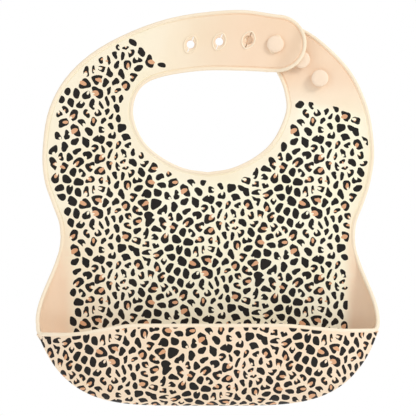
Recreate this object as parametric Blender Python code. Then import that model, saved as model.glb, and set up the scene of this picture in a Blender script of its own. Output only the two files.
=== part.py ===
"""Silicone catch-all bib, fastened, in its functional pieces.

Metres, +Z up, X across the chest, front towards -Y. The origin is the centre of the
neck opening, on the flat back of the sheet. Sizes below are in millimetres.

The bib is moulded in one silicone. Each piece here is a region of that moulding that
moves or works on its own, cut where the sheet bends.
"""

import math

import bmesh
import bpy
from mathutils import Vector
from mathutils.geometry import delaunay_2d_cdt

MM = 0.001

# Sheet
SHEET = 2.0  # thickness everywhere
GAP = 0.3  # between neighbouring pieces
RELIEF = 0.9  # bevel that lets a hinged edge turn both ways
CURVE_STEPS = 5  # intervals between two points of an outline
MERGE = 1e-5  # points closer than this are one
SHARP_ANGLE = math.radians(35)  # edges sharper than this stay crisp

# Levels
ROOT_Z = 2.0  # both straps bend here
WAIST_Z = -79.0  # the narrowest line, where the bottom folds up
CORNER_Z = -135.0  # ends of the pocket's rim
BOTTOM_Z = -191.0

# Left outer edge, from the waist over the shoulder to the top of the strap's round tip
LEFT_EDGE = [
    (-98, -79), (-99.2, -69), (-104, -56), (-108.8, -41), (-110, -21), (-105.5, 6.6), (-91.5, 30.6),
    (-66, 50.5), (-26, 66.5), (18, 72.1), (46.5, 69.0),
]
# Right outer edge, from the waist to the top of the strap's round tip
RIGHT_EDGE = [
    (98, -79), (99.2, -69), (103.6, -56), (107.8, -41), (110, -21), (105.9, 6.6), (94.6, 30.6),
    (76, 50), (60, 60.5), (41, 66.5),
]
# Neck opening, from its lowest point up each side to the underside of the round tip
NECK_LEFT = [
    (0, -35.9), (-16, -33.2), (-31.7, -25.3), (-43.5, -14), (-49.7, 3), (-45.7, 18.6),
    (-33, 26.8), (-6, 31.4), (20, 31.6), (46.5, 30.4),
]
NECK_RIGHT = [
    (0, -35.9), (16, -33.2), (32.1, -25.3), (44, -14), (52, 4), (50.9, 17.5),
    (47.4, 25), (41, 30.5),
]
HOLE_TIP = Vector((46.5, 49.7))  # centre of the hole strap's round tip
STUD_TIP = Vector((41.0, 48.5))  # centre of the stud strap's round tip
TIP_STEPS = 14
STRAP_GRID = ((-16.0, 64.0), (32.0, 70.0), 5.0)  # x, z and spacing of points on its curved end

# Fastening
STUDS = [(45.0, 49.2), (62.4, 38.9), (74.6, 26.6)]  # the first is engaged
EYELETS = [(-11.4, 49.2), (7.7, 51.0), (27.1, 52.0), (45.0, 49.2)]
SHANK_R = 2.5
HEAD_R = 5.7
HEAD_Y = -5.0  # underside of a stud's head
HEAD_THICK = 2.2
HEAD_EDGE = 1.1  # height of a head's straight rim, under its dome
HEAD_DOME = [(0.9, 0.35), (2.6, 0.0)]  # dome: distance inside the rim, and under the top
ROUND_STEPS = 24  # sides of a round piece
HOLE_R = 3.2
SLIT_HALF = 5.4  # the slit crosses the hole
SLIT_WIDTH = 1.0
LIP_HALF = 6.1  # lemon-shaped raised lip round the hole
LIP_WIDE_HALF = 4.3
LIP_RISE = 0.3
LIP_POINT = 0.3  # sharpness of the lemon's ends
LEAN = math.radians(22)  # the slit leans from upright
SEAT_R = 7.0  # round cut-out of the strap that holds an eyelet
EYELET_R = SEAT_R - GAP

# The hole strap lies in front of the stud strap, and its tip rides over the second stud
LAP = SHEET + 0.4
LAP_START_X = -20.0
LAP_END_X = 20.0
RIDE = 5.3
RIDE_DIRECTION = Vector((0.86, -0.51))
RIDE_START = 5.0
RIDE_END = 18.0

PEEL_POINT = Vector((-24.0, 48.7))  # middle of the line where the hole strap peels off
PEEL_DIRECTION = Vector((0.985, 0.172))  # along the strap, towards its tip

# Pocket
WAIST_X = 98.0
CORNER_X = 113.8
FOLD_WIDE = 30.0  # width of the side walls, seen from the front, at the rim
FOLD_FLOOR = 18.0  # the same under the pocket
SIDE_DEPTH = 20.0  # how far the rim's ends stand in front of the panel
FLOOR_DEPTH = 16.0  # the same for the lowest line
POCKET_DEPTH = 42.0  # rim's middle to the panel
BOTTOM_POWER = 4.5  # roundness of the bottom outline
BOTTOM_SWEEP = 1.43
RIM_POWER = 2.6  # roundness of the rim, seen from above
RIM_FULLNESS = 1.6
RIM_Z = -135.6
RIM_DROP = 6.0  # the rim sags towards its ends
RIM_LEVEL_X = 45.0
RIM_LOW_X = 94.0
RIM_END = 0.94  # part of the rim that the wall and its bead follow
BEAD_R = 1.7
BEAD_SIDES = 8
BEAD_STEPS = 56
FLOOR_HALF = 42.0  # half length of the floor, whose edge is the pocket's hinge
FLOOR_GAP = 0.7  # the floor stays clear of the wall that turns past it
WALL_START = 12.0  # distance below the waist where a side wall begins
WALL_CLEAR = 0.45  # the panel's free edge ends this far short of it
NORMAL_REACH = 18.0  # the wall's way outwards is evened out this far along the outline
MESH_STEP = 0.25  # shortest step of the numerical normals, along
ANGLE_STEP = 0.01  # and across
SIDE_STEPS = 400  # equal steps of half the pocket's outline
CORNER_STEPS = 40  # steps of its straight side; the round part has ROUND_PART times as many
ROUND_PART = 8
PANEL_STEPS = 60
GUSSET_STEPS = 44
FLOOR_STEPS = 14
TURN_STEPS = 5  # across a side wall or the floor
FRONT_STEPS = (60, 8)  # along and up the front wall


def smoothstep(value):
    value = min(max(value, 0.0), 1.0)
    return value * value * (3.0 - 2.0 * value)


def smooth_curve(points, steps=CURVE_STEPS):
    """Catmull-Rom curve through the points."""
    points = [Vector(p) for p in points]
    padded = [2 * points[0] - points[1], *points, 2 * points[-1] - points[-2]]
    curve = []
    for a, b, c, d in zip(padded, padded[1:], padded[2:], padded[3:]):
        for step in range(steps):
            t = step / steps
            curve.append(
                0.5 * (2 * b + (c - a) * t + (2 * a - 5 * b + 4 * c - d) * t**2
                       + (3 * b - a - 3 * c + d) * t**3)
            )
    return curve + [points[-1]]


def arc(centre, radius, start, end, steps):
    """Points round a circle, without the two ends."""
    turn = (end - start) / steps
    angles = [start + turn * step for step in range(1, steps)]
    return [centre + radius * Vector((math.cos(a), math.sin(a))) for a in angles]


def cut(curve, point, normal):
    """The stretch of a curve, open or closed, on the side that normal points to."""
    kept = []
    for a, b in zip(curve, curve[1:] + curve[:1]):
        side_a, side_b = (a - point).dot(normal), (b - point).dot(normal)
        if side_a >= 0:
            kept.append(a)
        if side_a * side_b < 0:
            kept.append(a.lerp(b, side_a / (side_a - side_b)))
    return kept


def resample(curve, count):
    """The same curve in equal steps."""
    lengths = [0.0]
    for a, b in zip(curve, curve[1:]):
        lengths.append(lengths[-1] + (b - a).length)
    points, segment = [], 0
    for step in range(count + 1):
        target = lengths[-1] * step / count
        while segment < len(curve) - 2 and lengths[segment + 1] < target:
            segment += 1
        span = lengths[segment + 1] - lengths[segment]
        points.append(curve[segment].lerp(curve[segment + 1], (target - lengths[segment]) / span))
    return points, lengths[-1]


def inside(point, loop):
    """Whether a point lies inside a closed loop."""
    crossed = False
    for a, b in zip(loop, loop[1:] + loop[:1]):
        if (a.y > point.y) != (b.y > point.y):
            crossed ^= point.x < a.x + (b.x - a.x) * (point.y - a.y) / (b.y - a.y)
    return crossed


def material(name, colour, roughness):
    made = bpy.data.materials.new(name)
    made.use_nodes = True
    shader = made.node_tree.nodes["Principled BSDF"]
    shader.inputs["Base Color"].default_value = (*colour, 1.0)
    shader.inputs["Roughness"].default_value = roughness
    shader.inputs["Metallic"].default_value = 0.0
    return made


def add_object(name, vertices, faces, look, pivot=None):
    """A closed body from vertices in millimetres, with its origin on its pivot."""
    origin = Vector(pivot.location) if pivot else Vector()
    mesh = bpy.data.meshes.new(name)
    mesh.from_pydata([Vector(v) * MM - origin for v in vertices], [], faces)
    body = bmesh.new()
    body.from_mesh(mesh)
    bmesh.ops.recalc_face_normals(body, faces=body.faces)
    body.to_mesh(mesh)
    body.free()
    mesh.shade_smooth()
    mesh.set_sharp_from_angle(angle=SHARP_ANGLE)
    mesh.materials.append(look)
    made = bpy.data.objects.new(name, mesh)
    bpy.context.scene.collection.objects.link(made)
    made.parent = pivot
    return made


def add_pivot(name, x, y, z):
    """An empty on a joint's axis."""
    pivot = bpy.data.objects.new(name, None)
    pivot.location = Vector((x, y, z)) * MM
    bpy.context.scene.collection.objects.link(pivot)
    return pivot


def plate(name, outline, look, pivot=None, holes=(), seeds=(), front=None, reliefs=()):
    """A sheet over a flat outline, its front at front(point) and SHEET thick.

    reliefs are the hinge lines, as (point, direction into the piece, face): along them
    that face is cut back, so that the edge can turn past its neighbour.
    """
    front = front or (lambda p: -SHEET)
    points, edges = [], []
    for loop in [outline, *holes]:
        start, count = len(points), len(loop)
        points += loop
        edges += [(start + i, start + (i + 1) % count) for i in range(count)]
    points += [Vector(s) for s in seeds]
    flat, _, triangles, *_ = delaunay_2d_cdt(points, edges, [], 0, MERGE)
    middles = [(flat[a] + flat[b] + flat[c]) / 3 for a, b, c in triangles]
    triangles = [
        triangle for triangle, middle in zip(triangles, middles)
        if inside(middle, outline) and not any(inside(middle, hole) for hole in holes)
    ]
    used = sorted({index for triangle in triangles for index in triangle})
    number = {index: place for place, index in enumerate(used)}
    fronts, backs = [], []
    for index in used:
        point = Vector(flat[index])
        moved = {"front": point.copy(), "back": point.copy()}
        for at, inward, face in reliefs:
            if abs((point - at).dot(inward)) < GAP:
                moved[face] += inward * RELIEF
        fronts.append((moved["front"].x, front(point), moved["front"].y))
        backs.append((moved["back"].x, front(point) + SHEET, moved["back"].y))
    count = len(used)
    faces, sides = [], {}
    for triangle in triangles:
        a, b, c = (number[index] for index in triangle)
        faces += [(a, b, c), (a + count, c + count, b + count)]
        for edge in ((a, b), (b, c), (c, a)):
            sides[edge] = True
    for a, b in sides:
        if (b, a) not in sides:
            faces.append((b, a, a + count, b + count))
    return add_object(name, fronts + backs, faces, look, pivot)


def shell(name, surface, u_range, v_range, u_steps, v_steps, look, pivot=None):
    """A curved sheet, SHEET thick, round the middle surface(u, v)."""
    def corner(u, v, side):
        along = surface(u + MESH_STEP, v) - surface(u - MESH_STEP, v)
        across = surface(u, v + ANGLE_STEP) - surface(u, v - ANGLE_STEP)
        normal = along.cross(across).normalized()
        return surface(u, v) + normal * (side * SHEET / 2)

    columns, rows = u_steps + 1, v_steps + 1
    vertices = []
    for side in (1, -1):
        for column in range(columns):
            u = u_range[0] + (u_range[1] - u_range[0]) * column / u_steps
            low, high = v_range(u)
            for row in range(rows):
                vertices.append(corner(u, low + (high - low) * row / v_steps, side))
    half = columns * rows
    faces = []
    for column in range(u_steps):
        for row in range(v_steps):
            a = column * rows + row
            b, c, d = a + 1, a + rows + 1, a + rows
            faces += [(a, b, c, d), (a + half, d + half, c + half, b + half)]
    ring = [(c * rows) for c in range(columns)]
    ring += [(columns - 1) * rows + r for r in range(1, rows)]
    ring += [c * rows + rows - 1 for c in reversed(range(columns - 1))]
    ring += [r for r in reversed(range(1, rows - 1))]
    for a, b in zip(ring, ring[1:] + ring[:1]):
        faces.append((a, b, b + half, a + half))
    return add_object(name, vertices, faces, look, pivot)


# Upper sheet


def hole_strap_outline():
    strap = smooth_curve(LEFT_EDGE)
    radius = (Vector(LEFT_EDGE[-1]) - HOLE_TIP).length
    tip = arc(HOLE_TIP, radius, math.pi / 2, -math.pi / 2, TIP_STEPS)
    inner = smooth_curve(NECK_LEFT)
    whole = strap + tip + inner[::-1]
    return cut(whole, Vector((0, ROOT_Z + GAP / 2)), Vector((0, 1)))


def stud_strap_outline():
    strap = smooth_curve(RIGHT_EDGE)
    radius = (Vector(RIGHT_EDGE[-1]) - STUD_TIP).length
    tip = arc(STUD_TIP, radius, math.pi / 2, 3 * math.pi / 2, TIP_STEPS)
    inner = smooth_curve(NECK_RIGHT)
    whole = strap + tip + inner[::-1]
    return cut(whole, Vector((0, ROOT_Z + GAP / 2)), Vector((0, 1)))


def chest_outline():
    whole = smooth_curve(LEFT_EDGE)[::-1] + smooth_curve(RIGHT_EDGE)
    whole += smooth_curve(NECK_RIGHT)[::-1] + smooth_curve(NECK_LEFT)[1:]
    below = cut(whole, Vector((0, ROOT_Z - GAP / 2)), Vector((0, -1)))
    return cut(below, Vector((0, WAIST_Z + GAP / 2)), Vector((0, 1)))


def hole_strap_front(point):
    """Height of the hole strap's front face, over the other strap and the second stud."""
    lap = LAP * smoothstep((point.x - LAP_START_X) / (LAP_END_X - LAP_START_X))
    along = (point - Vector(STUDS[0])).dot(RIDE_DIRECTION)
    ride = RIDE * smoothstep((along - RIDE_START) / (RIDE_END - RIDE_START))
    return -SHEET - lap - ride


def leaning(across, along):
    """A point of an eyelet, from its middle, across and along the slit."""
    return Vector((
        across * math.cos(LEAN) + along * math.sin(LEAN),
        along * math.cos(LEAN) - across * math.sin(LEAN),
    ))


def eyelet_hole():
    """A round hole crossed by a slit."""
    half = SLIT_WIDTH / 2
    mouth = math.asin(half / HOLE_R)
    steps = ROUND_STEPS // 3
    loop = []
    for side in (1, -1):
        span = math.pi - 2 * mouth
        for step in range(steps + 1):
            angle = math.pi / 2 - mouth - span * step / steps
            loop.append(leaning(side * HOLE_R * math.cos(angle), side * HOLE_R * math.sin(angle)))
        loop.append(leaning(-side * -half, -side * SLIT_HALF))
        loop.append(leaning(-side * half, -side * SLIT_HALF))
    return loop


def eyelet_lip():
    """A lemon: pointed along the slit, round across it."""
    loop = []
    for step in range(ROUND_STEPS):
        angle = 2 * math.pi * step / ROUND_STEPS
        across = LIP_WIDE_HALF * math.cos(angle) * abs(math.cos(angle)) ** LIP_POINT
        loop.append(leaning(across, LIP_HALF * math.sin(angle)))
    return loop


def circle(radius):
    return [
        Vector((radius * math.cos(a), radius * math.sin(a)))
        for a in (2 * math.pi * step / ROUND_STEPS for step in range(ROUND_STEPS))
    ]


def grid_inside(x_range, z_range, step):
    columns = int((x_range[1] - x_range[0]) / step)
    rows = int((z_range[1] - z_range[0]) / step)
    return [
        (x_range[0] + step * column, z_range[0] + step * row)
        for column in range(columns + 1)
        for row in range(rows + 1)
    ]


def build_eyelet(index, look, pivot):
    """A disc in its own cut-out, with the raised lip, the hole and the slit."""
    middle = Vector(EYELETS[index])
    lip = [middle + p for p in eyelet_lip()]
    rim = [middle + p for p in circle(EYELET_R)]
    hole = [middle + p for p in eyelet_hole()]

    def front(point):
        raised = min((point - p).length for p in lip + hole) < SLIT_WIDTH / 20
        return hole_strap_front(point) - (LIP_RISE if raised else 0.0)

    return plate(f"eyelet_{index + 1}", rim, look, pivot, holes=[hole], seeds=lip, front=front)


def build_stud(index, look, pivot):
    """A mushroom button, turned about an axis towards the front."""
    x, z = STUDS[index]
    top = HEAD_Y - HEAD_THICK
    profile = [
        (SHANK_R, -SHEET - GAP), (SHANK_R, HEAD_Y), (HEAD_R, HEAD_Y),
        (HEAD_R, HEAD_Y - HEAD_EDGE), *((HEAD_R - inset, top + under) for inset, under in HEAD_DOME),
    ]
    steps = ROUND_STEPS
    vertices = []
    for radius, y in profile:
        for step in range(steps):
            angle = 2 * math.pi * step / steps
            vertices.append((x + radius * math.cos(angle), y, z + radius * math.sin(angle)))
    faces = [tuple(range(steps)), tuple(reversed(range(len(vertices) - steps, len(vertices))))]
    for ring in range(len(profile) - 1):
        for step in range(steps):
            a = ring * steps + step
            b = ring * steps + (step + 1) % steps
            faces.append((a, b, b + steps, a + steps))
    return add_object(f"stud_{index + 1}", vertices, faces, look, pivot)


# Pocket


def side_x(z):
    """Half width at the free edge of a side wall, between the waist and the rim."""
    return WAIST_X + (CORNER_X - WAIST_X) * smoothstep((WAIST_Z - z) / (WAIST_Z - CORNER_Z))


def pocket_side():
    """Outline of the right half, from the waist round to the middle of the bottom."""
    steps, round_steps = CORNER_STEPS, CORNER_STEPS * ROUND_PART
    edge = []
    for step in range(steps):
        z = WAIST_Z + (CORNER_Z - WAIST_Z) * step / steps
        edge.append(Vector((side_x(z), z)))
    for step in range(round_steps + 1):
        angle = math.pi / 2 * step / round_steps
        x = CORNER_X * math.cos(angle) ** (2 / BOTTOM_POWER)
        drop = math.sin(angle) ** (2 / BOTTOM_SWEEP)
        edge.append(Vector((x, CORNER_Z + (BOTTOM_Z - CORNER_Z) * drop)))
    return edge


SIDE, SIDE_LENGTH = resample(pocket_side(), SIDE_STEPS)
CORNER_AT = next(i for i, p in enumerate(SIDE) if p.y < CORNER_Z) * SIDE_LENGTH / SIDE_STEPS


def outline_point(distance):
    """A point of the outline, at a distance from the right end of the waist.

    Past the middle of the bottom the distance runs on, up the left side.
    """
    distance = min(max(distance, 0.0), 2 * SIDE_LENGTH)
    mirrored = distance > SIDE_LENGTH
    place = (2 * SIDE_LENGTH - distance if mirrored else distance) / SIDE_LENGTH * SIDE_STEPS
    index = min(int(place), SIDE_STEPS - 1)
    point = SIDE[index].lerp(SIDE[index + 1], place - index)
    return Vector((-point.x, point.y)) if mirrored else point


def silhouette(distance):
    """Outline point, and the way outwards there, evened out along the outline."""
    ahead = outline_point(distance + NORMAL_REACH) - outline_point(distance - NORMAL_REACH)
    return outline_point(distance), Vector((-ahead.y, ahead.x)).normalized()


def fold_width(distance):
    """How far the fold of the wall lies inside the outline."""
    along = min(distance, 2 * SIDE_LENGTH - distance)
    rise = smoothstep(along / CORNER_AT)
    fall = smoothstep((along - CORNER_AT) / (SIDE_LENGTH - CORNER_AT - FLOOR_HALF))
    return FOLD_WIDE * rise - (FOLD_WIDE - FOLD_FLOOR) * fall


def side_depth(distance):
    """How far the outline stands in front of the panel."""
    along = min(distance, 2 * SIDE_LENGTH - distance)
    rise = smoothstep(along / CORNER_AT)
    fall = smoothstep((along - CORNER_AT) / (SIDE_LENGTH - CORNER_AT - FLOOR_HALF))
    return SIDE_DEPTH * rise - (SIDE_DEPTH - FLOOR_DEPTH) * fall


def fold_surface(distance, angle):
    """Middle surface that turns from the flat panel (0) to face sideways (pi / 2)."""
    point, normal = silhouette(distance)
    flat = point - normal * fold_width(distance) * (1 - math.sin(angle))
    return Vector((flat.x, -SHEET / 2 - side_depth(distance) * (1 - math.cos(angle)), flat.y))


def rim_point(way, drop):
    """A point of the rim, from its right end (-1) to its left end (1)."""
    part = math.sin(way * math.pi / 2)
    x = -CORNER_X * part
    sag = smoothstep((abs(x) - RIM_LEVEL_X) / (RIM_LOW_X - RIM_LEVEL_X))
    sag *= 1 - smoothstep((abs(x) - RIM_LOW_X) / (CORNER_X - RIM_LOW_X))
    bow = max(1 - abs(part) ** RIM_POWER, 0.0) ** (1 / RIM_FULLNESS)
    depth = SIDE_DEPTH + (POCKET_DEPTH - SIDE_DEPTH) * bow
    return Vector((x, -SHEET / 2 - depth, RIM_Z - RIM_DROP * sag - drop))


def wall_surface(distance, angle):
    """Middle surface from the outline (0) up the front of the pocket to its rim."""
    low = fold_surface(distance, math.pi / 2)
    way = (distance - SIDE_LENGTH) / (SIDE_LENGTH - CORNER_AT)
    high = rim_point(way, 2 * BEAD_R + GAP)
    flat = low.lerp(high, 1 - math.cos(angle))
    return Vector((flat.x, low.y + (high.y - low.y) * math.sin(angle), flat.z))


def lower_outline():
    """The flat panel between the waist and the fold of the walls."""
    right = [Vector((WAIST_X, WAIST_Z - GAP / 2))]
    start = WALL_START - WALL_CLEAR
    right += [silhouette(start * third / 3)[0] for third in (1, 2, 3)]
    for index in range(PANEL_STEPS + 1):
        distance = start + (SIDE_LENGTH - start) * index / PANEL_STEPS
        point, normal = silhouette(distance)
        right.append(point - normal * (fold_width(distance) + GAP))
    left = [Vector((-p.x, p.y)) for p in reversed(right[:-1])]
    return right + left


def tube(name, centres, radius, look, pivot):
    """A round bead along a line of points, with flat ends."""
    steps = BEAD_SIDES
    vertices = []
    for before, here, after in zip([centres[0], *centres], centres, [*centres[1:], centres[-1]]):
        forward = (after - before).normalized()
        side = forward.cross(Vector((0, 0, 1))).normalized()
        up = side.cross(forward)
        for step in range(steps):
            angle = 2 * math.pi * (step + 0.5) / steps
            vertices.append(here + side * radius * math.cos(angle) + up * radius * math.sin(angle))
    faces = [tuple(range(steps)), tuple(reversed(range(len(vertices) - steps, len(vertices))))]
    for ring in range(len(centres) - 1):
        for step in range(steps):
            a = ring * steps + step
            b = ring * steps + (step + 1) % steps
            faces.append((a, b, b + steps, a + steps))
    return add_object(name, vertices, faces, look, pivot)


def build_upper(silicone, stud_look, straps):
    plate(
        "chest_panel", chest_outline(), silicone,
        reliefs=[
            (Vector((0, ROOT_Z)), Vector((0, -1)), "front"),
            (Vector((0, WAIST_Z)), Vector((0, 1)), "back"),
        ],
    )
    root_relief = (Vector((0, ROOT_Z)), Vector((0, 1)), "front")
    plate("stud_strap", stud_strap_outline(), silicone, straps["stud"], reliefs=[root_relief])

    strap = hole_strap_outline()
    half_gap = PEEL_DIRECTION * (GAP / 2)
    plate(
        "hole_strap_root", cut(strap, PEEL_POINT - half_gap, -PEEL_DIRECTION), silicone,
        straps["hole"], reliefs=[root_relief],
    )
    seats = [[Vector(e) + p for p in circle(SEAT_R)] for e in EYELETS]
    plate(
        "hole_strap_tip", cut(strap, PEEL_POINT + half_gap, PEEL_DIRECTION), silicone,
        straps["tip"], holes=seats, seeds=grid_inside(*STRAP_GRID),
        front=hole_strap_front,
    )
    for index in range(len(EYELETS)):
        build_eyelet(index, silicone, straps["tip"])
    for index in range(len(STUDS)):
        build_stud(index, stud_look, straps["stud"])


def build_lower(silicone, plain, fold, pocket):
    plate(
        "lower_panel", lower_outline(), silicone, fold,
        reliefs=[(Vector((0, WAIST_Z)), Vector((0, -1)), "back")],
    )

    def wall_angles(gap):
        def angles(distance):
            return 0.0, math.acos(gap / side_depth(distance))
        return angles

    floor_start = SIDE_LENGTH - FLOOR_HALF
    floor_end = SIDE_LENGTH + FLOOR_HALF
    ends = {
        "right_gusset": (WALL_START, floor_start - GAP, GUSSET_STEPS, GAP / 2),
        "pocket_floor": (floor_start, floor_end, FLOOR_STEPS, FLOOR_GAP),
        "left_gusset": (
            floor_end + GAP, 2 * SIDE_LENGTH - WALL_START, GUSSET_STEPS, GAP / 2,
        ),
    }
    for name, (start, end, steps, gap) in ends.items():
        shell(name, fold_surface, (start, end), wall_angles(gap), steps, TURN_STEPS, plain, fold)

    half_wall = (SIDE_LENGTH - CORNER_AT) * RIM_END

    def front_angles(distance):
        rise = fold_surface(distance, math.pi / 2).y - wall_surface(distance, math.pi / 2).y
        return math.asin(GAP / 2 / rise), math.pi / 2

    shell(
        "pocket_front", wall_surface, (SIDE_LENGTH - half_wall, SIDE_LENGTH + half_wall),
        front_angles, *FRONT_STEPS, silicone, pocket,
    )
    rim = [
        rim_point(RIM_END * (2 * step / BEAD_STEPS - 1), BEAD_R) for step in range(BEAD_STEPS + 1)
    ]
    tube("pocket_rim", rim, BEAD_R, silicone, pocket)


def build():
    for leftover in list(bpy.data.objects):
        bpy.data.objects.remove(leftover)
    silicone = material("silicone_front", (0.94, 0.82, 0.66), 0.55)
    plain = material("silicone_plain", (0.93, 0.74, 0.55), 0.55)
    stud_look = material("silicone_stud", (0.93, 0.76, 0.60), 0.5)
    straps = {
        "stud": add_pivot("stud_strap_axis", 0, 0, ROOT_Z),
        "hole": add_pivot("hole_strap_axis", 0, 0, ROOT_Z),
        "tip": add_pivot("peel_axis", PEEL_POINT.x, -SHEET, PEEL_POINT.y),
    }
    fold = add_pivot("waist_axis", 0, -SHEET, WAIST_Z)
    pocket = add_pivot("pocket_axis", 0, -SHEET / 2 - FLOOR_DEPTH, BOTTOM_Z)
    build_upper(silicone, stud_look, straps)
    build_lower(silicone, plain, fold, pocket)


build()
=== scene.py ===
"""Looks of the silicone bib: moulded sheet, raised edges, animal-spot print, studs and lips.

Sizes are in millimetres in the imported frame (+Z up, front towards -Y) until a mesh is made.
The sheet is one moulding in the real bib. Here it is cut across places that don't bend,
so that each piece bends over one joint only.
"""

import math
import random
from math import cos, pi, sin

import bmesh
import bpy
import numpy as np
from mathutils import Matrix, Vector
from mathutils.bvhtree import BVHTree
from mathutils.geometry import barycentric_transform, delaunay_2d_cdt


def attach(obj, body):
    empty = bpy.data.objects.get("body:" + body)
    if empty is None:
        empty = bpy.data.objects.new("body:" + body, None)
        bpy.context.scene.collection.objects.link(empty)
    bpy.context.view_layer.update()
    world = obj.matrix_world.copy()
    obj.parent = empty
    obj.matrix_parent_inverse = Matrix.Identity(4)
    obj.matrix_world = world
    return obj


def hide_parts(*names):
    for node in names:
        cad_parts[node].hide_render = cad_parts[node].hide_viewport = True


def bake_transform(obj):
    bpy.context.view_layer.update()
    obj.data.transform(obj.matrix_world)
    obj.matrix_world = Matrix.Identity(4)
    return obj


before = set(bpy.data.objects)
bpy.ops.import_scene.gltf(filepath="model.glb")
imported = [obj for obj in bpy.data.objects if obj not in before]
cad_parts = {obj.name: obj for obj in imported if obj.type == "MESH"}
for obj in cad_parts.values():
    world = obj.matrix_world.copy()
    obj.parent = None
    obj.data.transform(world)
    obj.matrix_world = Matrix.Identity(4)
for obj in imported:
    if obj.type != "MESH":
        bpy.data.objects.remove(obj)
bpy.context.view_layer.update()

MM = 0.001
RIGHT_ANGLE = pi / 2

# Sheet and its raised edge
SHEET = 2.0
HALF = SHEET / 2
EDGE_R = 1.2
RIM_R = 1.5
LIP_R = 0.5
TUBE_SIDES = 12
SHARP = math.radians(35)
CURVE_STEPS = 5
WELD = 0.01
SEAM_STEP = 3.0
GROOVE = (2.4, 2.85, 3.3)  # from the outline: a fine groove beside the raised edge
GROOVE_DEPTH = 0.45
GROOVE_FADE = (-90.0, -72.0)

# Outline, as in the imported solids
LEFT, RIGHT = -1, 1
OUTER = {LEFT: [
    (-98, -79), (-99.2, -69), (-104, -56), (-108.8, -41), (-110, -21), (-105.5, 6.6), (-91.5, 30.6),
    (-66, 50.5), (-26, 66.5), (18, 72.1), (46.5, 69.0),
], RIGHT: [
    (98, -79), (99.2, -69), (104.2, -56), (108.7, -41), (110.9, -21), (106.8, 6.6), (95.5, 31.1),
    (76.6, 50.8), (60.2, 61.0), (41, 66.5),
]}
NECK = {LEFT: [
    (0, -35.9), (-16, -33.2), (-31.7, -25.3), (-43.5, -14), (-49.7, 3), (-45.7, 18.6),
    (-33, 26.8), (-6, 31.4), (20, 31.6), (46.5, 30.4),
], RIGHT: [
    (0, -35.9), (16, -33.2), (32.1, -25.3), (44, -14), (52, 4), (51.3, 16.5), (48.6, 25),
    (45.3, 31.5),
]}
TIPS = {LEFT: Vector((46.5, 49.7)), RIGHT: Vector((41.0, 48.5))}
TIP_STEPS = 24
BELOW_WAIST = (-96, -92, -88, -84)  # heights where the outline carries on into the side walls

# Where the sheet is cut into pieces, and where each piece bends
SHOULDER_Z = -12.0
CHEST_LOW = -66.0
PANEL_TOP = -92.0
PEEL_POINT = Vector((-24.0, 48.7))
PEEL_DIRECTION = Vector((0.985, 0.172))
PEEL_SEAM = -14.0

# Fastening
STUDS = [(45.0, 49.2), (62.4, 38.9), (74.6, 26.6)]
EYELETS = [(-11.4, 49.2), (7.7, 51.0), (27.1, 52.0), (45.0, 49.2)]
STUD_PROFILE = [
    (0, -1.9), (3.5, -1.9), (2.9, -2.2), (2.5, -2.8), (2.5, -4.6), (2.9, -4.95), (4.9, -5.0),
    (5.4, -5.1), (5.68, -5.45), (5.7, -5.9), (5.55, -6.35), (5.1, -6.72), (4.3, -6.97),
    (3.2, -7.1), (1.7, -7.18), (0, -7.2),
]
STUD_SIDES = 48
HOLE_R = 3.2
ON_RIM = 0.06  # how near a point is to the hole's radius when it lies on its edge
HOLE_TAPER = 0.6  # the hole is this much narrower at the back
SLIT_HALF = 5.4
SLIT_WIDTH = 0.6
LIP_HALF = 6.0
LIP_WIDE_HALF = 4.2
LIP_POINT = 0.3
LIP_RISE = 0.05
LIP_STEPS = 48
HOLE_STEPS = 16
LEAN = math.radians(22)
LAP = SHEET + 0.4
LAP_X = (-20.0, 20.0)
RIDE = 5.3
RIDE_DIRECTION = Vector((0.86, -0.51))
RIDE_REACH = (5.0, 18.0)

# Pocket
WAIST_Z = -79.0
WAIST_X = 98.0
CORNER_X = 113.8
CORNER_Z = -135.0
BOTTOM_Z = -191.0
FOLD_START = 3.0
FOLD_WIDE = 30.0
FOLD_FLOOR = 18.0
SIDE_DEPTH = 20.0
FLOOR_DEPTH = 16.0
POCKET_DEPTH = 42.0
BOTTOM_POWER = 4.5
BOTTOM_SWEEP = 1.43
RIM_POWER = 2.6
RIM_FULLNESS = 1.6
RIM_Z = -135.6
RIM_DROP_LEFT = 6.2
RIM_DROP_RIGHT = 3.6
RIM_LEVEL_X = 45.0
RIM_LOW_X = 94.0
FLOOR_HALF = 42.0
NORMAL_REACH = 18.0
NORMAL_STEPS = (0.4, 0.01)
TURN_START = 13.0  # distance below the waist where the side walls begin to turn
PRINT_TURN = math.radians(30)  # the panel piece reaches this far up the turn
SIDE_STEPS = 400
WALL_EDGE_STEPS = 40
BOTTOM_STEPS = 320
CORNER_FILLET = 5.0

# Print
SEED = 12
TILE = (73.0, 80.0)
TILE_SHIFT = 40.0
COLUMN_X = 10.0
COLUMN_HALF = 8.0
COLUMN_STRETCH = 1.45
PAVED = [(54.0, 26.0, 9.0, 21.0), (36.0, 66.0, 6.0, 10.0)]  # middles and half sizes
RING_SPACING = 7.6
SPACINGS = [
    ({"ringed": (7.6, 9.6), "paved": (6.2, 7.0)}, 700),
    ({"ringed": (4.8, 6.2), "paved": (5.0, 6.0), "column": (3.5, 4.9)}, 2500),
    ({"ringed": (3.3, 4.0), "paved": (3.8, 4.4), "column": (3.1, 3.5)}, 3500),
]
GAPS = {"column": (1.0, 1.5), "paved": (0.9, 1.4), "ringed": (1.1, 1.7), "ring": (0.7, 1.3)}
SQUEEZES = {"column": (0.55, 0.85, 0.35), "paved": (0.82, 1.0, 0.8), "ringed": (0.62, 0.95, 0.7)}
WAVES = (0.09, 0.1, 0.05)  # unevenness of a spot's outline, two, three and four times round
PAVED_WAVES = 0.4
SMALLEST = 0.6
SHORT_SIDE = 0.05
CORNER_SHARE = 0.26
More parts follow.
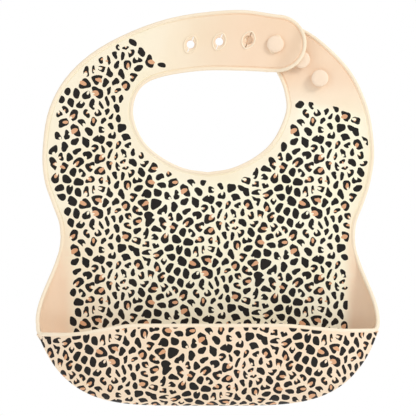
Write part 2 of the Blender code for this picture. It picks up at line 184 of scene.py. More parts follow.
# By style: smallest radius, then each patch's look, share of spots, size, reach and stretch
PATCHES = {
    "column": (1.3, [("tan", (0, 0.12), 0.8, 0.6, 1.15), ("clear", (0.12, 0.35), 0.8, 0.6, 1.15)]),
    "paved": (1.75, [("clear", (0, 0.2), 0.55, 1.0, 1.15)]),
    "ring": (0, [
        ("tan", (0, 0.65), (0.85, 1.15), (0.3, 0.55), 1.3),
        ("clear", (0, 0.3), (0.5, 0.8), (0.85, 1.1), 1.25),
        ("clear", (0.65, 0.85), (0.5, 0.8), (0.85, 1.1), 1.25),
    ]),
    "ringed": (1.5, [
        ("clear", (0, 0.62), (0.7, 1.1), (0.6, 1.0), 1.2), ("tan", (0, 0.4), 0.85, 0.45, 1.15),
    ]),
}
BLOB_SWELLS = ((0, 0.24), (0.02, 0.17), (0, 0.05))
BLOB_STEPS = (12, 16)
WIDE_BLOB = 3.5
EVENED = 0.6  # how far each spot moves to the middle of its own area
KEPT = 0.6  # a shape pressed onto the border stays if this share of it is left
POCKET_KEPT = 0.12
EDGE_MARGIN = 3.8
NECK_MARGIN = 5.6
PRINT_ENDS = {  # the print on the shoulders ends at these lines
    LEFT: (Vector((-50.5, 53.5)), Vector((-23.5, 33.5))),
    RIGHT: (Vector((57, 13.0)), Vector((105, 4.0))),
}
PANEL_PRINT = (-92.0, 93.5)
PANEL_PRINT_TOP = -90.0
PANEL_PRINT_LOW = -176.0
# Share of cream in the sheet's colour: the print's cream ground inside its border reaches this far past
# it
TINT_REACH = 3.5
# painted light: the sheet is lighter above these heights, up to this share of cream
PAINTED_LIGHT_LOW = (-105.0, -60.0)
PAINTED_LIGHT_TOP = 0.78
# painted shade: the pocket's front wall gets only this share of cream
POCKET_PAINTED_LIGHT = 0.22
# the print's ground has less cream towards the left, over these x, by this share
TINT_LEFT = (-30.0, -80.0)
TINT_LOSS = 0.35
# painted shade: the straps' ends, over these spans of x and z, lose the painted light
STRAP_PAINTED_SHADE = (-45.0, 25.0)
STRAP_PAINTED_SHADE_Z = 25.0


# -------- plane curves


def ease(value, start, end):
    """Smooth rise from 0 at the start to 1 at the end."""
    share = min(max((value - start) / (end - start), 0.0), 1.0)
    return share * share * (3.0 - 2.0 * share)


def ramp(values, start, end):
    """Straight rise from 0 at the start to 1 at the end, for an array."""
    return np.clip((values - start) / (end - start), 0, 1)


def turns(count):
    """A full turn in equal steps."""
    return [2 * pi * step / count for step in range(count)]


def smooth_curve(points):
    """Catmull-Rom curve through the points."""
    points = [Vector(p) for p in points]
    padded = [2 * points[0] - points[1], *points, 2 * points[-1] - points[-2]]
    curve = []
    for a, b, c, d in zip(padded, padded[1:], padded[2:], padded[3:]):
        for step in range(CURVE_STEPS):
            t = step / CURVE_STEPS
            curve.append(
                0.5 * (2 * b + (c - a) * t + (2 * a - 5 * b + 4 * c - d) * t**2
                       + (3 * b - a - 3 * c + d) * t**3)
            )
    return curve + [points[-1]]


def shifted(curve, amount):
    """An open curve moved sideways, to the left of its direction."""
    moved = []
    for before, here, after in zip([curve[0], *curve], curve, [*curve[1:], curve[-1]]):
        along = (after - before).normalized()
        moved.append(here + Vector((-along.y, along.x)) * amount)
    return moved


def cut(loop, point, normal):
    """The part of a closed loop on the side that normal points to."""
    kept = []
    for a, b in zip(loop, loop[1:] + loop[:1]):
        side_a, side_b = (a - point).dot(normal), (b - point).dot(normal)
        if side_a >= 0:
            kept.append(a)
        if side_a * side_b < 0:
            kept.append(a.lerp(b, side_a / (side_a - side_b)))
    return kept


def stretches(curve, *planes):
    """The runs of an open curve that lie on the kept side of every (point, normal)."""
    runs = [[]]
    for a, b in zip(curve, curve[1:]):
        low, high = 0.0, 1.0
        for point, normal in planes:
            side_a, side_b = (a - point).dot(normal), (b - point).dot(normal)
            if side_a < 0 and side_b < 0:
                low, high = 1.0, 0.0
            elif side_a < 0:
                low = max(low, side_a / (side_a - side_b))
            elif side_b < 0:
                high = min(high, side_a / (side_a - side_b))
        if low < high:
            runs[-1] += [a.lerp(b, high)] if runs[-1] else [a.lerp(b, low), a.lerp(b, high)]
        if high < 1.0:
            runs.append([])
    return [run for run in runs if run]


def lengths_along(path):
    """Distance along a path of each of its points."""
    return np.concatenate([[0], np.cumsum([(b - a).length for a, b in zip(path, path[1:])])])


def resample(curve, count):
    """The same curve in equal steps, and its length."""
    lengths = lengths_along(curve)
    targets = np.linspace(0, lengths[-1], count + 1)
    columns = [np.interp(targets, lengths, [p[axis] for p in curve]) for axis in (0, 1)]
    return [Vector(p) for p in zip(*columns)], float(lengths[-1])


def split_long(loop, longest):
    """A loop with points added along its long edges."""
    made = []
    for a, b in zip(loop, loop[1:] + loop[:1]):
        count = max(1, math.ceil((b - a).length / longest - WELD))
        made += [a.lerp(b, i / count) for i in range(count)]
    return made


def in_loop(points, loop):
    """For an array of points, whether each lies inside a closed loop."""
    points, loop = np.asarray(points, float), np.asarray(loop, float)
    inside = np.zeros(len(points), bool)
    for a, b in zip(loop, np.roll(loop, -1, axis=0)):
        crosses = (a[1] > points[:, 1]) != (b[1] > points[:, 1])
        if crosses.any():
            at = a[0] + (b[0] - a[0]) * (points[:, 1] - a[1]) / (b[1] - a[1] + 1e-12)
            inside ^= crosses & (points[:, 0] < at)
    return inside


def nearest_on(line, points, closed=True):
    """For each point, the nearest point of a line and its distance."""
    points, line = np.asarray(points, float), np.asarray(line, float)
    best, place = np.full(len(points), np.inf), points.copy()
    after = np.roll(line, -1, axis=0) if closed else line[1:]
    for a, b in zip(line, after):
        span = b - a
        t = np.clip(((points - a) @ span) / (span @ span + 1e-12), 0, 1)
        at = a + t[:, None] * span
        far = np.linalg.norm(points - at, axis=1)
        nearer = far < best
        best[nearer], place[nearer] = far[nearer], at[nearer]
    return place, best


# -------- outline of the bib


def outer_edge(side, inset):
    """Open curve up the left or the right edge of the bib."""
    low = [Vector((side * side_x(z), z)) for z in BELOW_WAIST]
    return shifted(low + smooth_curve(OUTER[side]), side * inset)


def neck_edge(side, inset):
    """Open curve up one side of the neck opening."""
    return shifted(smooth_curve(NECK[side]), -side * inset)


def strap_edge(side, inset):
    """Open curve: up an outer edge, round the strap's tip and back along the neck opening."""
    radius = (Vector(OUTER[side][-1]) - TIPS[side]).length - inset
    angles = np.linspace(RIGHT_ANGLE, RIGHT_ANGLE + side * pi, TIP_STEPS + 1)[1:-1]
    tip = [TIPS[side] + radius * Vector((cos(a), sin(a))) for a in angles]
    return outer_edge(side, inset) + tip + neck_edge(side, inset)[::-1]


def chest_curve(inset):
    """Closed: both outer edges and both sides of the neck opening."""
    whole = outer_edge(LEFT, inset)[::-1] + outer_edge(RIGHT, inset)
    return whole + neck_edge(RIGHT, inset)[::-1] + neck_edge(LEFT, inset)[1:]


def above(z):
    return Vector((0, z)), Vector((0, 1))


def below(z):
    return Vector((0, z)), Vector((0, -1))


# -------- pocket surfaces


def side_x(z):
    return WAIST_X + (CORNER_X - WAIST_X) * ease(z, WAIST_Z, CORNER_Z)


def pocket_side():
    """Outline of the right half, from the waist round to the middle of the bottom."""
    edge = []
    for step in range(WALL_EDGE_STEPS):
        z = WAIST_Z + (CORNER_Z - WAIST_Z) * step / WALL_EDGE_STEPS
        edge.append(Vector((side_x(z), z)))
    for step in range(BOTTOM_STEPS + 1):
        angle = RIGHT_ANGLE * step / BOTTOM_STEPS
        x = CORNER_X * cos(angle) ** (2 / BOTTOM_POWER)
        drop = sin(angle) ** (2 / BOTTOM_SWEEP)
        edge.append(Vector((x, CORNER_Z + (BOTTOM_Z - CORNER_Z) * drop)))
    return edge


SIDE, SIDE_LENGTH = resample(pocket_side(), SIDE_STEPS)
AROUND = 2 * SIDE_LENGTH


def distance_at(z):
    """Distance along the outline, from the right end of the waist, where it passes a height."""
    return next(i for i, p in enumerate(SIDE) if p.y < z) * SIDE_LENGTH / SIDE_STEPS


CORNER_AT = distance_at(CORNER_Z)
RIM_RIGHT_AT = distance_at(RIM_Z - RIM_R - RIM_DROP_RIGHT)
RIM_LEFT_AT = AROUND - distance_at(RIM_Z - RIM_R - RIM_DROP_LEFT)


def outline_point(distance):
    distance = min(max(distance, 0.0), AROUND)
    place = min(distance, AROUND - distance) / SIDE_LENGTH * SIDE_STEPS
    index = min(int(place), SIDE_STEPS - 1)
    point = SIDE[index].lerp(SIDE[index + 1], place - index)
    return Vector((-point.x if distance > SIDE_LENGTH else point.x, point.y))


def sheet_edge(distance):
    """Middle of the sheet's edge, seen from the front, and the way outwards."""
    ahead = outline_point(distance + NORMAL_REACH) - outline_point(distance - NORMAL_REACH)
    outwards = Vector((-ahead.y, ahead.x)).normalized()
    level = Vector((1.0 if distance < SIDE_LENGTH else -1.0, 0.0))
    along = min(distance, AROUND - distance)
    outwards = level.lerp(outwards, ease(along, TURN_START, TURN_START + NORMAL_REACH)).normalized()
    return outline_point(distance) - outwards * EDGE_R, outwards


def turn_share(distance):
    """(rise to the pocket's corner, fall towards its floor), each from 0 to 1."""
    along = min(distance, AROUND - distance)
    rise = ease(along, TURN_START, CORNER_AT)
    fall = ease(along, CORNER_AT, SIDE_LENGTH - FLOOR_HALF)
    return rise, fall


def fold_middle(distance, angle):
    """Middle of the sheet where it turns from the flat panel (0) to the outline (pi / 2)."""
    edge, outwards = sheet_edge(distance)
    rise, fall = turn_share(distance)
    width = FOLD_START + (FOLD_WIDE - FOLD_START) * rise - (FOLD_WIDE - FOLD_FLOOR) * fall
    depth = SIDE_DEPTH * rise - (SIDE_DEPTH - FLOOR_DEPTH) * fall
    flat = edge - outwards * width * (1 - sin(angle))
    return Vector((flat.x, -HALF - depth * (1 - cos(angle)), flat.y))


def rim_middle(distance):
    """Middle of the rim's bead, above a place on the outline."""
    way = 2 * (distance - RIM_RIGHT_AT) / (RIM_LEFT_AT - RIM_RIGHT_AT) - 1
    part = sin(way * RIGHT_ANGLE)
    x = -(CORNER_X - EDGE_R) * part
    drop = RIM_DROP_LEFT if x < 0 else RIM_DROP_RIGHT
    sag = drop * ease(abs(x), RIM_LEVEL_X, RIM_LOW_X)
    bow = max(1 - abs(part) ** RIM_POWER, 0.0) ** (1 / RIM_FULLNESS)
    depth = SIDE_DEPTH + (POCKET_DEPTH - SIDE_DEPTH) * bow
    return Vector((x, -HALF - depth, RIM_Z - RIM_R - sag))


def wall_middle(distance, angle):
    """Middle of the front wall, from the outline (0) up to the rim (pi / 2)."""
    low, high = fold_middle(distance, RIGHT_ANGLE), rim_middle(distance)
    flat = low.lerp(high, 1 - cos(angle))
    return Vector((flat.x, low.y + (high.y - low.y) * sin(angle), flat.z))


def with_normal(surface, u, v, u_low, u_high):
    """(point, normal) of a surface; the normal points to the sheet's front side."""
    du, dv = NORMAL_STEPS
    v_low, v_high = max(v - dv, 0), min(v + dv, RIGHT_ANGLE)
    along = surface(min(u + du, u_high), v) - surface(max(u - du, u_low), v)
    across = surface(u, v_high) - surface(u, v_low)
    return surface(u, v), along.cross(across).normalized()


def fold_point(distance, angle):
    return with_normal(fold_middle, distance, angle, TURN_START, AROUND - TURN_START)


def wall_point(distance, angle):
    return with_normal(wall_middle, distance, angle, RIM_RIGHT_AT, RIM_LEFT_AT)


def front_map(surface, u_values, v_values):
    """A function that gives a surface's own coordinates at a place seen from the front."""
    own = [Vector((u, v, 0)) for u in u_values for v in v_values]
    flat = [Vector((at.x, at.z, 0)) for at in (surface(p.x, p.y) for p in own)]
    rows = len(v_values)
    faces = []
    for column in range(len(u_values) - 1):
        for row in range(rows - 1):
            a = column * rows + row
            faces += [(a, a + 1, a + rows + 1), (a, a + rows + 1, a + rows)]
    tree = BVHTree.FromPolygons(flat, faces)

    def find(x, z):
        near, _, index, _ = tree.find_nearest(Vector((x, z, 0)))
        corners = [here[i] for here in (flat, own) for i in faces[index]]
        return barycentric_transform(near, *corners).xy

    return find


# -------- print


def blob(rng, size, stretch):
    """A rounded, uneven spot."""
    swells = [rng.uniform(*limits) for limits in BLOB_SWELLS]
    phases = [rng.uniform(0, 2 * pi) for _ in BLOB_SWELLS]
    loop = []
    for a in turns(BLOB_STEPS[size > WIDE_BLOB]):
        uneven = sum(w * cos(k * a + p) for k, (w, p) in enumerate(zip(swells, phases), 2))
        radius = size / 2 * (1 + uneven)
        loop.append(Vector((radius * cos(a) * stretch, radius * sin(a) / stretch)))
    return loop


def turned(loop, angle, move=Vector((0, 0))):
    c, s = cos(angle), sin(angle)
    return [Vector((p.x * c - p.y * s, p.x * s + p.y * c)) + move for p in loop]


def zone(x, z):
    """What the print is like at a place in its tile: columns of slim spots, paving or rings."""
    if abs(x - COLUMN_X) < COLUMN_HALF:
        return "column"
    for middle_x, middle_z, half_x, half_z in PAVED:
        if ((x - middle_x) / half_x) ** 2 + ((z - middle_z) / half_z) ** 2 < 1:
            return "paved"
    return "ringed"


def spot_centres(rng):
    """Uneven spacing over the tile, the widest spots first: (x, z, spacing, zone)."""
    placed = []
    for spacings, attempts in SPACINGS:
        for _ in range(attempts):
            x, z = rng.uniform(0, TILE[0]), rng.uniform(0, TILE[1])
            kind = zone(x, z)
            if kind not in spacings:
                continue
            spacing = rng.uniform(*spacings[kind])
            for other_x, other_z, other, other_kind in placed:
                dx = x - other_x
                columns = round(dx / TILE[0])
                dz = z - other_z - columns * TILE_SHIFT
                dx -= columns * TILE[0]
                dz -= TILE[1] * round(dz / TILE[1])
                if kind == other_kind == "column":
                    dz /= COLUMN_STRETCH
                if math.hypot(dx, dz) < (spacing + other) / 2:
                    break
            else:
                placed.append((x, z, spacing, kind))
    return placed


def cells(centres):
    """The area nearest to each centre, as the tile repeats: one convex outline each."""
    points = []
    for i, j in [(0, 0)] + [(i, j) for i in (-1, 0, 1) for j in (-1, 0, 1) if i or j]:
        move = Vector((TILE[0] * i, TILE_SHIFT * i + TILE[1] * j))
        points += [c + move for c in centres]
    flat, _, triangles, *_ = delaunay_2d_cdt(points, [], [], 0, 1e-6)
    corners = [[] for _ in centres]
    for triangle in triangles:
        if min(triangle) >= len(centres):
            continue
        a, b, c = (flat[i] for i in triangle)
        ab, ac = b - a, c - a
        twice = 2 * (ab.x * ac.y - ab.y * ac.x)
        middle = a + Vector((
            ac.y * ab.length_squared - ab.y * ac.length_squared,
            ab.x * ac.length_squared - ac.x * ab.length_squared,
        )) / twice
        for index in triangle:
            if index < len(centres):
                corners[index].append(middle)
    return [
        sorted(around, key=lambda p: math.atan2(p.y - centre.y, p.x - centre.x))
        for centre, around in zip(centres, corners)
    ]


def rounded(loop):
    """A loop with its corners cut off, twice."""
    for _ in range(2):
        loop = [
            p for a, b in zip(loop, loop[1:] + loop[:1])
            for p in (a.lerp(b, CORNER_SHARE), a.lerp(b, 1 - CORNER_SHARE))
        ]
    return loop


def spot(rng, centre, cell, spacing, kind):
    """The shapes of one spot: charcoal, then tan and bare notches over it."""
    style = kind if spacing < RING_SPACING else "ring"
    gap = rng.uniform(*GAPS[style]) / 2
    body = cell
    for a, b in zip(cell, cell[1:] + cell[:1]):
        if (b - a).length > SHORT_SIDE:
            inward = Vector((a.y - b.y, b.x - a.x)).normalized()
            body = cut(body, a + inward * gap, inward) if len(body) > 2 else body
    if len(body) < 3:
        return []
    middle = sum(body, Vector((0, 0))) / len(body)
    low, high, tilt = SQUEEZES[kind]
    squeeze, angle = rng.uniform(low, high), rng.gauss(0.0, tilt)
    body = turned([p - middle for p in body], -angle)
    body = turned([Vector((p.x * squeeze, p.y)) for p in body], angle, middle)
    body, waves = rounded(body), [rng.uniform(0, 2 * pi) for _ in WAVES]
    share = PAVED_WAVES if kind == "paved" else 1
    for number, point in enumerate(body):
        arm = point - middle
        turn = math.atan2(arm.y, arm.x)
        pairs = enumerate(zip(WAVES, waves), 2)
        swell = sum(size * sin(k * turn + wave) for k, (size, wave) in pairs)
        body[number] = middle + arm * (1 + swell * share)
    radius = math.sqrt(area(body) / pi)
    if radius < SMALLEST:
        return []
    parts = [("ink", body)]
    way = rng.uniform(0, 2 * pi)
    outward = Vector((cos(way), sin(way)))
    chance = rng.random()
    from_radius, patches = PATCHES[style]
    for look, (low, high), size, reach, stretch in patches:
        if radius > from_radius and low <= chance < high:
            size, reach = (rng.uniform(*v) if isinstance(v, tuple) else v for v in (size, reach))
            at = middle + outward * radius * reach
            parts.append((look, turned(blob(rng, size * radius, stretch), way, at)))
    return parts


def spot_tile():
    """One repeat of the print: a list of spots, each a centre and its shapes."""
    rng = random.Random(SEED)
    placed = spot_centres(rng)
    centres = [Vector((x, z)) for x, z, _, _ in placed]
    middles = [sum(cell, Vector((0, 0))) / len(cell) for cell in cells(centres)]
    centres = [centre.lerp(middle, EVENED) for centre, middle in zip(centres, middles)]
    spots = []
    for centre, cell, (_, _, spacing, kind) in zip(centres, cells(centres), placed):
        parts = spot(rng, centre, cell, spacing, kind)
        if parts:
            spots.append((centre, parts))
    return spots


def area(loop):
    loop = np.asarray(loop, float)
    after = np.roll(loop, -1, axis=0)
    return abs(np.sum(loop[:, 0] * after[:, 1] - loop[:, 1] * after[:, 0])) / 2


def spread(tile, low, high, origin):
    """The print over a rectangle: spots as (centre, shapes)."""
    left, right = ((side[0] - origin[0]) / TILE[0] for side in (low, high))
    spots = []
    for column in range(int(left) - 1, int(right) + 1):
        base = Vector((origin[0] + column * TILE[0], origin[1] + column * TILE_SHIFT))
        first = math.floor((low[1] - base.y) / TILE[1]) - 1
        last = math.ceil((high[1] - base.y) / TILE[1])
        for row in range(first, last + 1):
            move = base + Vector((0, row * TILE[1]))
            for centre, shapes in tile:
                at = centre + move
                if low[0] < at.x < high[0] and low[1] < at.y < high[1]:
                    spots.append((at, [(kind, [p + move for p in loop]) for kind, loop in shapes]))
    return spots


def fitted(spots, border, whole_only):
    """The print's shapes inside a border: what sticks out is pressed back onto it."""
    centres = in_loop([centre for centre, _ in spots], border)
    shapes = []
    for (_, parts), centred in zip(spots, centres):
        if whole_only and not centred:
            continue
        for kind, loop in parts:
            points = np.array(loop)
            outside = ~in_loop(points, border)
            if outside.all():
                break
            size = area(points)
            if outside.any():
                points[outside] = nearest_on(border, points[outside])[0]
                if whole_only:
                    points = np.array(rounded([Vector(p) for p in points[::3]]))
            if area(points) > (KEPT if whole_only else POCKET_KEPT) * size:
                shapes.append((kind, points))
            elif kind == "ink":
                break
    return shapes


# -------- meshes

BASE, INK, TAN, PLAIN, BEAD = range(5)


def added(name, data, place=(0, 0, 0), turn=(0, 0, 0)):
    """A new object in the scene."""
    made = bpy.data.objects.new(name, data)
    made.location, made.rotation_euler = place, turn
    bpy.context.scene.collection.objects.link(made)
    return made


class Skin:
    """Collects the faces of one piece."""

    def __init__(self):
        self.points, self.tints, self.faces, self.looks = [], [], [], []

    def add(self, points, faces, look, tints=None):
        start = len(self.points)
        self.points += points
        self.tints += tints if tints is not None else [0.0] * len(points)
        for number, face in enumerate(faces):
            self.faces.append(tuple(index + start for index in face))
            self.looks.append(look[number] if isinstance(look, list) else look)

    def build(self, name, materials):
        mesh = bpy.data.meshes.new(name)
        mesh.from_pydata([Vector(p) * MM for p in self.points], [], self.faces)
        for look in materials:
            mesh.materials.append(look)
        mesh.polygons.foreach_set("material_index", self.looks)
        # share of cream per point: the print's cream ground, painted light towards the top, painted
        # shade on the pocket and the straps' ends
        tint = mesh.attributes.new("tint", "FLOAT", "POINT")
        tint.data.foreach_set("value", self.tints)
        shape = bmesh.new()
        shape.from_mesh(mesh)
        bmesh.ops.remove_doubles(shape, verts=shape.verts, dist=WELD * MM)
        shape.to_mesh(mesh)
        shape.free()
        rest = mesh.attributes.new("rest", "FLOAT_VECTOR", "POINT")
        places = np.array([v.co for v in mesh.vertices]).ravel()
        rest.data.foreach_set("vector", places)
        mesh.shade_smooth()
        mesh.set_sharp_from_angle(angle=SHARP)
        return added(name, mesh)


def grid_points(loop, step, clear):
    """Points on a grid inside a loop, not too near it."""
    loop = np.array(loop)
    low, high = loop.min(0), loop.max(0)
    xs, ys = np.arange(low[0], high[0], step), np.arange(low[1], high[1], step * 0.87)
    points = np.array([(x + row % 2 * step / 2, y) for row, y in enumerate(ys) for x in xs])
    points = points[in_loop(points, loop)]
    return points[nearest_on(loop, points)[1] > clear]


def triangulate(outline, holes, shapes, seeds, lines):
    """Triangles of a plane area and, for each, which print shape it lies in."""
    points, edges = [], []
    for line in lines:
        start = len(points)
        points += line
        edges += [(start + i, start + i + 1) for i in range(len(line) - 1)]
    for loop in [outline, *holes, *(loop for _, loop in shapes)]:
        start, count = len(points), len(loop)
        points += [Vector(p) for p in loop]
        edges += [(start + i, start + (i + 1) % count) for i in range(count)]
    points += [Vector(p) for p in seeds]
    flat, _, triangles, *_ = delaunay_2d_cdt(points, edges, [], 0, 1e-5)
    flat, triangles = np.array(flat), np.array(triangles)
    middles = flat[triangles].mean(1)
    kept = in_loop(middles, outline)
    for hole in holes:
        kept &= ~in_loop(middles, hole)
    triangles, middles = triangles[kept], middles[kept]
    looks = np.full(len(triangles), BASE)
    for wanted, look in (("ink", INK), ("tan", TAN), ("clear", BASE)):
        for loop in (loop for kind, loop in shapes if kind == wanted):
            near = np.nonzero(((middles > loop.min(0)) & (middles < loop.max(0))).all(1))[0]
            looks[near[in_loop(middles[near], loop)]] = look
    used, inverse = np.unique(triangles, return_inverse=True)
    return flat[used], inverse.reshape(-1, 3), looks.tolist()


def add_plate(skin, outline, middle, shapes, holes, seeds, tint, open_below=-math.inf, lines=(),
              dent=None, back_shift=None):
    """A sheet over a plane area; middle(point) gives its (middle, front normal) in space."""
    flat, triangles, looks = triangulate(outline, holes, shapes, seeds, lines)
    places = [middle(Vector(p)) for p in flat]
    depths = dent(flat) if dent else np.zeros(len(flat))
    fronts = [at + normal * (HALF - depth) for (at, normal), depth in zip(places, depths)]
    backs = [at - normal * HALF for at, normal in places]
    if back_shift:
        backs = [at + Vector((x, 0, z)) for at, (x, z) in zip(backs, back_shift(flat))]
    count = len(flat)
    faces = [tuple(t) for t in triangles.tolist()]
    sides = dict.fromkeys(edge for a, b, c in faces for edge in ((a, b), (b, c), (c, a)))
    walls = [(a, b) for a, b in sides if (b, a) not in sides]
    walls = [(a, b) for a, b in walls if max(flat[a][1], flat[b][1]) >= open_below]
    hidden = [tuple(index + count for index in face[::-1]) for face in faces]
    hidden += [(b, a, a + count, b + count) for a, b in walls]
    looks += [PLAIN] * len(hidden)
    # each front point's share of cream carries painted light and shade; the hidden faces get none
    skin.add(fronts + backs, faces + hidden, looks, tint(flat) + [0.0] * count)


def add_strip(skin, surface, u_values, v_values):
    """Both faces of a plain curved sheet over a grid."""
    rows = len(v_values)
    places = [surface(u, v) for u in u_values for v in v_values]
    points = [at + normal * side for side in (HALF, -HALF) for at, normal in places]
    half = len(places)
    faces = []
    for column in range(len(u_values) - 1):
        for row in range(rows - 1):
            a = column * rows + row
            faces += [(a, a + rows, a + rows + 1, a + 1)]
            faces += [(a + half, a + 1 + half, a + rows + 1 + half, a + rows + half)]
    skin.add(points, faces, PLAIN)


def add_rings(skin, rings, look, closed=False):
    """Rings of points, each joined to the next; closed joins the last to the first."""
    count, sides = len(rings), len(rings[0])
    faces = []
    for ring in range(count if closed else count - 1):
        for step in range(sides):
            a, b = ring * sides + step, ring * sides + (step + 1) % sides
            c, d = (a + sides) % (count * sides), (b + sides) % (count * sides)
            faces.append((a, b, d, c))
    if not closed:
        faces += [tuple(reversed(range(sides))), tuple(range(sides * (count - 1), sides * count))]
    skin.add([point for ring in rings for point in ring], faces, look)


def add_tube(skin, path, radius, closed=False):
    """A round bead along a path in space."""
    before = (path[-1:] if closed else path[:1]) + path[:-1]
    after = path[1:] + (path[:1] if closed else path[-1:])
    rings, side = [], None
    for a, here, b in zip(before, path, after):
        forward = (b - a).normalized()
        if side is None:
            side = forward.orthogonal()
        side = (side - forward * side.dot(forward)).normalized()
        up = forward.cross(side)
        rings.append([here + (side * cos(t) + up * sin(t)) * radius for t in turns(TUBE_SIDES)])
    add_rings(skin, rings, BEAD, closed)


def add_stud(skin, x, z):
    """A stud, turned about an axis along Y; its profile starts and ends on the axis."""
    add_rings(skin, [
        [Vector((x + r * cos(a), y, z + r * sin(a))) for a in turns(STUD_SIDES)] for r, y in STUD_PROFILE
    ], BASE)


# -------- materials


def linear(display):
    """A colour given in display values (0 to 255)."""
    shares = [value / 255 for value in display]
    return (*(v / 12.92 if v <= 0.04045 else ((v + 0.055) / 1.055) ** 2.4 for v in shares), 1.0)


CLOUD = (26, 3)  # scale and detail of a noise
CLOUD_RANGE = (0.35, 0.65)
SATIN = (70, 4)
SATIN_RANGE = (0.3, 0.7)
SATIN_SPREAD = 0.07
GRAIN = (0.12, 0.00012, (1500, 2))  # strength and height of a bump, and its noise
UNEVEN = (0.25, 0.0012, (45, 2))
IOR = 1.42
INK_SHINE = 0.25


def silicone(name, colours, roughness, inner=None):
    """Matt moulded silicone: faint cloudiness, satin patches and a fine moulded grain.

    With inner, the colour turns to it by the sheet's share of cream: the print's cream ground, painted
    light that makes the top lighter, and painted shade that keeps the pocket and the straps' ends
    darker.
    """
    made = bpy.data.materials.new(name)
    made.use_nodes = True
    nodes, links = made.node_tree.nodes, made.node_tree.links
    shader = nodes["Principled BSDF"]

    def add(kind, **settings):
        """A node with its sockets' values."""
        node = nodes.new("ShaderNode" + kind)
        for socket, value in settings.items():
            node.inputs[socket.replace("_", " ")].default_value = value
        return node

    def attribute(name):
        node = add("Attribute")
        node.attribute_name = name
        return node.outputs

    rest = attribute("rest")["Vector"]

    def noise(scale, detail):
        node = add("TexNoise", Scale=scale, Detail=detail, Roughness=0.5)
        links.new(rest, node.inputs["Vector"])
        return node.outputs["Fac"]

    def mixed(factor, a, b):
        node = add("Mix")
        node.data_type = "RGBA"
        links.new(factor, node.inputs["Factor"])
        for socket, value in (("A", a), ("B", b)):
            if isinstance(value, tuple):
                node.inputs[socket].default_value = linear(value)
            else:
                links.new(value, node.inputs[socket])
        return node.outputs["Result"]

    def ranged(value, low, high, to_low, to_high):
        node = add("MapRange", From_Min=low, From_Max=high, To_Min=to_low, To_Max=to_high)
        links.new(value, node.inputs["Value"])
        return node.outputs["Result"]

    def bump(strength, distance, grain):
        node = add("Bump", Strength=strength, Distance=distance)
        links.new(noise(*grain), node.inputs["Height"])
        return node

    cloud = ranged(noise(*CLOUD), *CLOUD_RANGE, 0, 1)
    shade = mixed(cloud, *colours)
    if inner:
        # mixes towards cream by that share: print ground and painted light; the peach left over is
        # partly painted shade
        shade = mixed(attribute("tint")["Fac"], shade, mixed(cloud, *inner))
    links.new(shade, shader.inputs["Base Color"])
    spread_out = roughness - SATIN_SPREAD, roughness + SATIN_SPREAD
    satin = ranged(noise(*SATIN), *SATIN_RANGE, *spread_out)
    links.new(satin, shader.inputs["Roughness"])
    fine, broad = bump(*GRAIN), bump(*UNEVEN)
    links.new(fine.outputs["Normal"], broad.inputs["Normal"])
    links.new(broad.outputs["Normal"], shader.inputs["Normal"])
    shader.inputs["IOR"].default_value = IOR
    return made


MATT, SATIN_ROUGHNESS = 0.55, 0.5
# CREAM: the print's ground and painted light towards the top; PEACH: the plain faces, and painted shade
# where the share of cream is low
CREAM = ((246, 239, 211), (249, 243, 220))
PEACH = ((241, 211, 180), (243, 216, 188))
CHARCOAL = ((27, 24, 22), (35, 31, 28))
TAN_INK = ((214, 158, 116), (222, 170, 130))
EDGE_CREAM = ((245, 227, 199), (247, 231, 206))
STUD_CREAM = ((243, 219, 193), (245, 223, 199))
LOOKS = [
    silicone("silicone_ground_painted_light", PEACH, MATT, CREAM),
    silicone("print_charcoal", CHARCOAL, MATT),
    silicone("print_tan", TAN_INK, MATT),
    silicone("silicone_plain", PEACH, MATT),
    silicone("silicone_edge", EDGE_CREAM, SATIN_ROUGHNESS),
]
LOOKS[INK].node_tree.nodes["Principled BSDF"].inputs["Specular IOR Level"].default_value = INK_SHINE
STUD_LOOK = silicone("silicone_stud", STUD_CREAM, SATIN_ROUGHNESS)


# -------- upper sheet


def flat_front(_):
    return -SHEET


def hole_strap_front(point):
    lap = LAP * ease(point.x, *LAP_X)
    along = (point - Vector(STUDS[0])).dot(RIDE_DIRECTION)
    return -SHEET - lap - RIDE * ease(along, *RIDE_REACH)


def sheet_middle(point, front=flat_front):
    return Vector((point.x, front(point) + HALF, point.y)), Vector((0, -1, 0))


def print_border():
    """Where the chest, the shoulders and the panel are printed."""
    runs = []
    for side, (start, end) in PRINT_ENDS.items():
        line = end - start
        keep = (start, Vector((line.y, -line.x)))
        runs += stretches(outer_edge(side, EDGE_MARGIN), above(WAIST_Z), keep)[:1]
        runs += stretches(neck_edge(side, NECK_MARGIN), keep)[:1]
    left, left_neck, right, right_neck = runs
    low = [Vector((PANEL_PRINT[1], z)) for z in (PANEL_PRINT_TOP, PANEL_PRINT_LOW)]
    low += [Vector((PANEL_PRINT[0], z)) for z in (PANEL_PRINT_LOW, PANEL_PRINT_TOP)]
    return left + left_neck[::-1] + right_neck + right[::-1] + low


def eyelet_hole():
    """A round hole crossed by a slit."""
    half = SLIT_WIDTH / 2
    mouth = math.asin(half / HOLE_R)
    span = pi - 2 * mouth
    loop = []
    for side in (1, -1):
        for step in range(HOLE_STEPS + 1):
            angle = RIGHT_ANGLE - mouth - span * step / HOLE_STEPS
            loop.append(Vector((cos(angle), sin(angle))) * side * HOLE_R)
        for turn, short in ((1, half), (0.5, 0), (-0.5, 0), (-1, half)):
            loop.append(Vector((half * turn, short - SLIT_HALF)) * side)
    return turned(loop, -LEAN)


def eyelet_lip():
    loop = []
    for angle in turns(LIP_STEPS):
        across = LIP_WIDE_HALF * cos(angle) * abs(cos(angle)) ** LIP_POINT
        loop.append(Vector((across, LIP_HALF * sin(angle))))
    return turned(loop, -LEAN)


